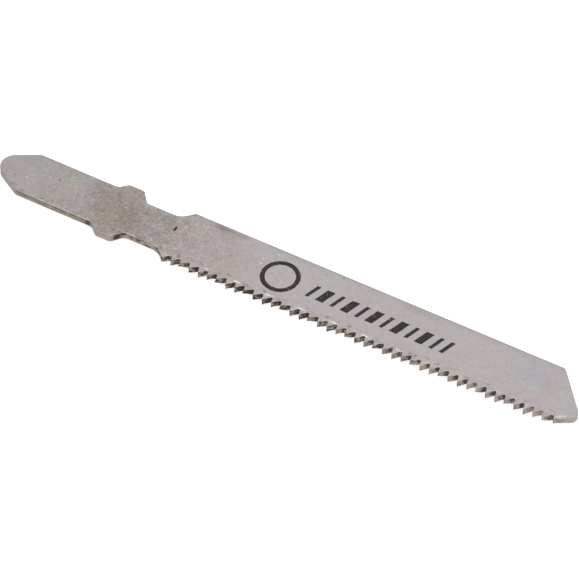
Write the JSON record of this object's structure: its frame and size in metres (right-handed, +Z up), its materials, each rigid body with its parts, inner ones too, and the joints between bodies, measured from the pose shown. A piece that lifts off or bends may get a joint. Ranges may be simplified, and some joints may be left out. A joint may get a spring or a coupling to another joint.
{
  "type": "jigsaw blade",
  "caption": "Fine-toothed jigsaw blade for metal: a thin flat steel strip with a lugged T shank, a wavy-set toothed edge and a slanted end.",
  "frame": {"origin": "on the underside of the strip, on the shank's centre line, midway along the lugs", "axes": "+X from the shank to the slanted end of the blade, +Y towards the plain back edge so that the teeth face -Y, +Z up out of the flat side"},
  "size_m": [0.076, 0.0082, 0.0013],
  "materials": {
    "steel": "satin rolled steel with faint heat tint, small stains and sheared edges"
  },
  "bodies": {
    "root": {"blade": "steel"}
  },
  "joints": []
}
